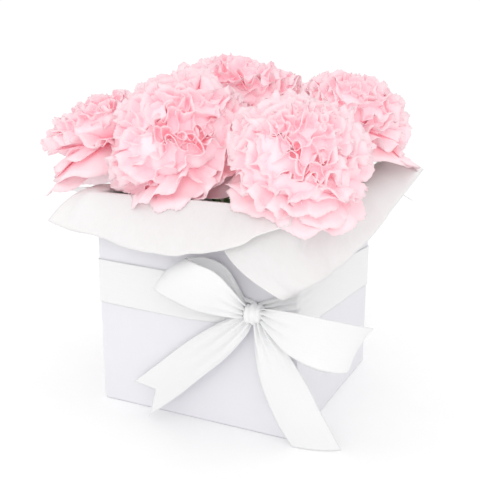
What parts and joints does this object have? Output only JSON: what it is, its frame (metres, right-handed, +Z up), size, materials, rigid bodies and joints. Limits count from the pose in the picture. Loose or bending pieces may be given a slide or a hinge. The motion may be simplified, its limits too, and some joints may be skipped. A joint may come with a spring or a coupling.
{
  "type": "flower box",
  "caption": "Square white gift carton with a satin ribbon and bow, tissue lining, and a lift-out foam tray that holds cut pink carnations.",
  "frame": {"origin": "middle of the underside of the carton's base, on the surface that it stands on", "axes": "+Z up, -Y out of the front wall with the bow, +X to the right as seen from the front"},
  "size_m": [0.2098, 0.1635, 0.1947],
  "materials": {
    "card": "smooth matt white paperboard with a faint cool tint",
    "card_inside": "uncoated inner face of the board, matt off-white",
    "satin": "white polyester satin, soft sheen",
    "tissue": "thin white tissue, slightly see-through, matt",
    "liner_plastic": "thin moulded plastic, milky",
    "wet_foam": "soaked floral foam, fine open cells, matt dark green",
    "stem": "smooth waxy plant stem, pale green",
    "calyx": "smooth waxy calyx, grey-green",
    "petal": "soft thin petals, pale pink, deeper pink between them"
  },
  "bodies": {
    "box": {"box_walls": "card", "base_panel": "card", "dust_flap_left": "card_inside", "dust_flap_right": "card_inside", "inner_base_panel": "card_inside", "tissue_front_back": "tissue", "tissue_left_right": "tissue", "ribbon_band": "satin", "bow_knot": "satin", "bow_loop_left": "satin", "bow_loop_right": "satin", "bow_tail_left": "satin", "bow_tail_right": "satin"},
    "insert": {"liner_tray": "liner_plastic", "foam_block": "wet_foam"},
    "flower_front_left": {"stem_front_left": "stem", "calyx_front_left": "calyx", "bloom_front_left": "petal"},
    "flower_front_right": {"stem_front_right": "stem", "calyx_front_right": "calyx", "bloom_front_right": "petal"},
    "flower_left": {"stem_left": "stem", "calyx_left": "calyx", "bloom_left": "petal"},
    "flower_back": {"stem_back": "stem", "calyx_back": "calyx", "bloom_back": "petal"},
    "flower_back_right": {"stem_back_right": "stem", "calyx_back_right": "calyx", "bloom_back_right": "petal"}
  },
  "joints": [
    {"name": "insert_lift", "type": "slide", "parent": "box", "child": "insert", "axis": [0, 0, 1], "range_m": [0, 0.13]},
    {"name": "flower_front_left_pull", "type": "slide", "parent": "insert", "child": "flower_front_left", "axis": [-0.1528, -0.6266, 0.7642], "range_m": [0, 0.06]},
    {"name": "flower_front_right_pull", "type": "slide", "parent": "insert", "child": "flower_front_right", "axis": [0.4537, -0.5347, 0.7129], "range_m": [0, 0.06]},
    {"name": "flower_left_pull", "type": "slide", "parent": "insert", "child": "flower_left", "axis": [-0.7701, 0.0745, 0.6335], "range_m": [0, 0.06]},
    {"name": "flower_back_pull", "type": "slide", "parent": "insert", "child": "flower_back", "axis": [0.1124, 0.1405, 0.9837], "range_m": [0, 0.06]},
    {"name": "flower_back_right_pull", "type": "slide", "parent": "insert", "child": "flower_back_right", "axis": [0.395, 0.1463, 0.907], "range_m": [0, 0.06]}
  ]
}
